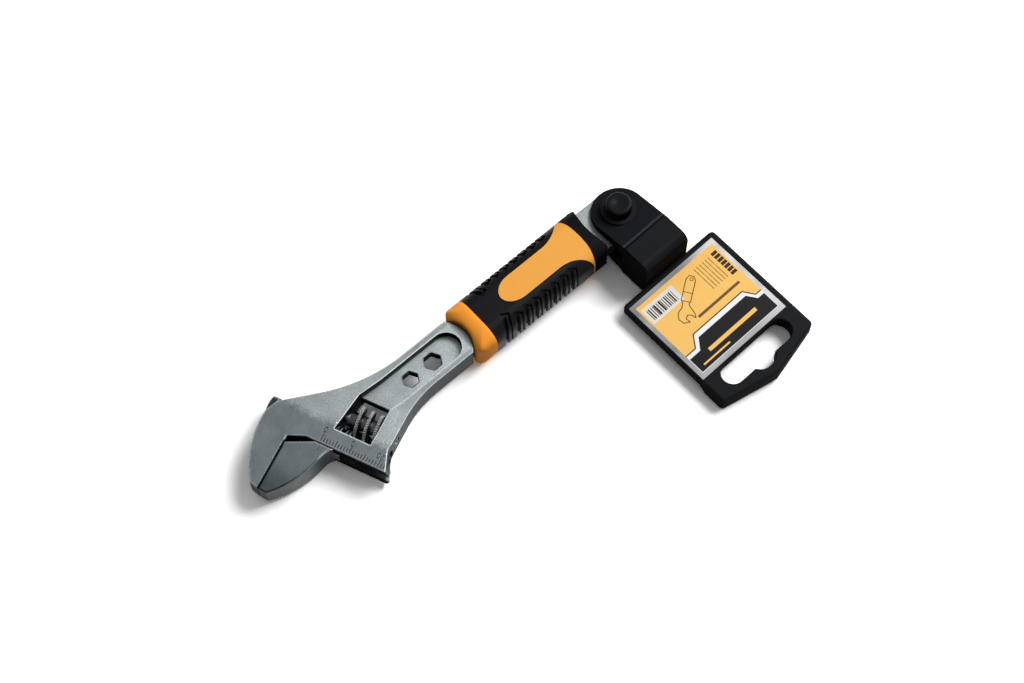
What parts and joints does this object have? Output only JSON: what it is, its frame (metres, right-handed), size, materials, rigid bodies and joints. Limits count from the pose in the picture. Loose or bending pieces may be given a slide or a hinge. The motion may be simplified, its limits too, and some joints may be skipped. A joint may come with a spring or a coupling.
{
  "type": "adjustable wrench",
  "caption": "Small adjustable wrench with a sliding jaw, a knurled worm, a two-colour soft grip and a swivelling plastic display hanger on the handle's eye.",
  "frame": {"origin": "centre of the fixed jaw's clamping face, in the mid-plane of the wrench", "axes": "+X along the handle towards its tail, +Z square to the flat side of the wrench, +Y completes the frame and points to the head's back"},
  "size_m": [0.1748, 0.1009, 0.0203],
  "materials": {
    "steel_body": "satin matt-plated steel, ground on the head and finely pebbled on the neck",
    "steel_jaw": "satin ground steel, a little darker than the head",
    "steel_worm": "dark oiled steel with bright worn crests",
    "steel_pin": "plain turned steel",
    "steel_spring": "spring wire",
    "orange_plastic": "smooth satin orange plastic",
    "black_rubber": "matt black soft rubber with raised grip loops",
    "black_cap": "matt black soft rubber",
    "hanger_plastic": "finely textured black plastic",
    "stud_plastic": "half-gloss black plastic",
    "label": "printed card in orange, grey and silver, without lettering"
  },
  "bodies": {
    "wrench": {"wrench_body": "steel_body", "worm_pin": "steel_pin", "worm_spring": "steel_spring", "grip_core": "orange_plastic", "grip_cover": "black_rubber", "grip_end": "black_cap"},
    "jaw": {"movable_jaw": "steel_jaw"},
    "thumb_worm": {"worm": "steel_worm"},
    "hanger": {"hanger": "hanger_plastic", "hanger_pin": "stud_plastic", "label_card": "label"}
  },
  "joints": [
    {"name": "jaw_slide", "type": "slide", "parent": "wrench", "child": "jaw", "axis": [0.3827, -0.9239, 0], "range_m": [0, 0.02]},
    {"name": "worm_spin", "type": "hinge", "parent": "wrench", "child": "thumb_worm", "pos_m": [0.0231, 0.00957, 0], "axis": [-0.3827, 0.9239, 0], "range_deg": [0, 2190]},
    {"name": "hanger_swivel", "type": "hinge", "parent": "wrench", "child": "hanger", "pos_m": [0.1419, -0.00755, 0], "axis": [0, 0, 1], "range_deg": [-8, 186]}
  ],
  "couplings": [
    {"joint": "worm_spin", "follows": "jaw_slide", "rad_per_m": 1904}
  ]
}
